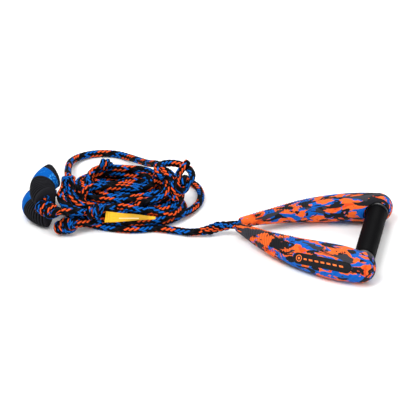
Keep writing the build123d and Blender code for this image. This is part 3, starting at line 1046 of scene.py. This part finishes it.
def build_label(material):
    """Webbing that tapers towards its right end and lies over the hank's front strands."""
    along = Vector((0.996, 0.076, 0.05)).normalized()
    facing = Vector((0, -0.548, 0.836))
    facing = (facing - along * facing.dot(along)).normalized()
    across = facing.cross(along)
    columns, rows = 100, 26
    vertices, uvs = [], []
    for i in range(columns + 1):
        u = LABEL_LENGTH * (i / columns - 0.5)
        half = LABEL_HALF_WIDTHS[0] + (LABEL_HALF_WIDTHS[1] - LABEL_HALF_WIDTHS[0]) * i / columns
        for j in range(rows + 1):
            v = (2 * j / rows - 1) * half
            wave = 0.5 * math.sin(u / 9.0 + 0.6) + 0.35 * math.sin(v / 3.1 + u / 23)
            droop = -0.012 * v * v
            lift = wave + droop + 2.4
            place = along * u + across * v + facing * lift
            vertices.append(Vector(scaled(*LABEL_CENTRE)) + place * MM)
            uvs.append((u / LABEL_LENGTH, v / LABEL_LENGTH))
    faces = []
    for i in range(columns):
        for j in range(rows):
            a = i * (rows + 1) + j
            faces.append((a, a + rows + 1, a + rows + 2, a + 1))
    label = new_object("webbing_label", vertices, faces, material)
    layer = label.data.uv_layers.new(name="label")
    for loop in label.data.loops:
        layer.data[loop.index].uv = uvs[loop.vertex_index]
    solid = label.modifiers.new("thickness", "SOLIDIFY")
    solid.thickness = 1.6 * MM
    solid.offset = -1.0
    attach(label, "rope")
    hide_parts("sewn_label")


def label_material():
    """Yellow webbing: a weave, stitches at one end, broken lines, wear and a pale streak."""
    n = Nodes("label_webbing")
    uv = n.add("ShaderNodeUVMap", uv_map="label").outputs[0]
    split = n.add("ShaderNodeSeparateXYZ")
    n.link(uv, split.inputs[0])
    u = n.math("MULTIPLY", split.outputs[0], LABEL_LENGTH)
    v = n.math("MULTIPLY", split.outputs[1], LABEL_LENGTH)
    warp = n.math("SINE", n.math("MULTIPLY", v, 2 * math.pi / 0.9))
    weft = n.math("SINE", n.math("MULTIPLY", u, 2 * math.pi / 0.7))
    weave = n.math("MULTIPLY_ADD", n.math("MULTIPLY", warp, weft), 0.5, 0.5)
    stain = n.noise(uv, 60.0, 3.0)
    yellow = n.mix(stain, (0.86, 0.42, 0.012, 1), (0.95, 0.56, 0.02, 1))
    colour = n.mix(n.math("MULTIPLY", weave, 0.3), yellow, (0.62, 0.26, 0.006, 1))
    rows = n.math("MAXIMUM", n.math("COMPARE", u, -36.5, 0.35), n.math("COMPARE", u, -33.5, 0.35))
    dashes = n.math("GREATER_THAN", n.math("SINE", n.math("MULTIPLY", v, 2 * math.pi / 2.4)), -0.3)
    stitch = n.math("MULTIPLY", rows, dashes)
    colour = n.mix(stitch, colour, (0.35, 0.13, 0.01, 1))
    lines = n.math("GREATER_THAN", n.math("SINE", n.math("MULTIPLY", v, 2 * math.pi / 2.6)), 0.72)
    broken = n.math("GREATER_THAN", n.noise(uv, 160.0, 1.0), 0.5)
    window = n.math("MULTIPLY", n.math("COMPARE", u, -4.0, 25.0), n.math("MULTIPLY", lines, broken))
    colour = n.mix(n.math("MULTIPLY", window, 0.6), colour, (0.2, 0.1, 0.02, 1))
    worn = n.math("MULTIPLY", n.math("MAXIMUM", n.math("MULTIPLY_ADD", u, 0.04, 0.8), 0.0), 0.8)
    worn = n.math("MINIMUM", worn, n.math("MULTIPLY_ADD", u, -0.09, 3.2))
    worn = n.math("MINIMUM", n.math("MAXIMUM", worn, 0.0), 0.75)
    colour = n.mix(worn, colour, (0.40, 0.22, 0.012, 1))
    streak = n.math("MULTIPLY", n.math("COMPARE", v, -2.0, 0.8), n.math("COMPARE", u, -2.0, 16.0))
    colour = n.mix(n.math("MULTIPLY", streak, 0.6), colour, (0.9, 0.82, 0.6, 1))
    height = n.math("ADD", weave, n.math("MULTIPLY", stitch, 2.0))
    normal = n.bump(height, 0.5, 0.3 * MM)
    return n.finish(colour, 0.75, normal, Specular_IOR_Level=0.3)


def dress_cad_nodes():
    """Materials for the CAD parts that stay as they are: bridle, tube and end caps."""
    tube = plain_material("bar_aluminium", (0.45, 0.46, 0.48, 1), (0.6, 0.61, 0.63, 1), 0.35, 1.0)
    cap = plain_material("cap_plastic", (0.008, 0.008, 0.009, 1), (0.014, 0.014, 0.016, 1), 0.45)
    cord = plain_material("bridle_cord", (0.012, 0.012, 0.015, 1), (0.03, 0.03, 0.036, 1), 0.7, 0.0, 0.6)
    for node, material in (("bar_tube", tube), ("rear_bar_cap", cap), ("front_bar_cap", cap),
                           ("bridle_rope", cord)):
        for slot in bpy.data.objects[node].material_slots:
            slot.material = material


add_camera()
add_stage()
braid = braid_material()
build_ropes(braid)
build_splice(braid)
arms = build_arms(camo_material())
build_bar(rubber_material())
build_badge(arms[1], badge_material())
# Each foam's third colour is the painted shade in its grooves.
build_floats(
    foam_material("float_foam", (0.012, 0.012, 0.015, 1), (0.020, 0.020, 0.024, 1),
                  (0.0005, 0.0005, 0.0005, 1)),
    foam_material("float_band", (0.0, 0.075, 0.36, 1), (0.002, 0.12, 0.48, 1), (0.0, 0.02, 0.12, 1),
                  (0.05, 0.35, 0.80, 1)),
    braid,
)
build_label(label_material())
dress_cad_nodes()
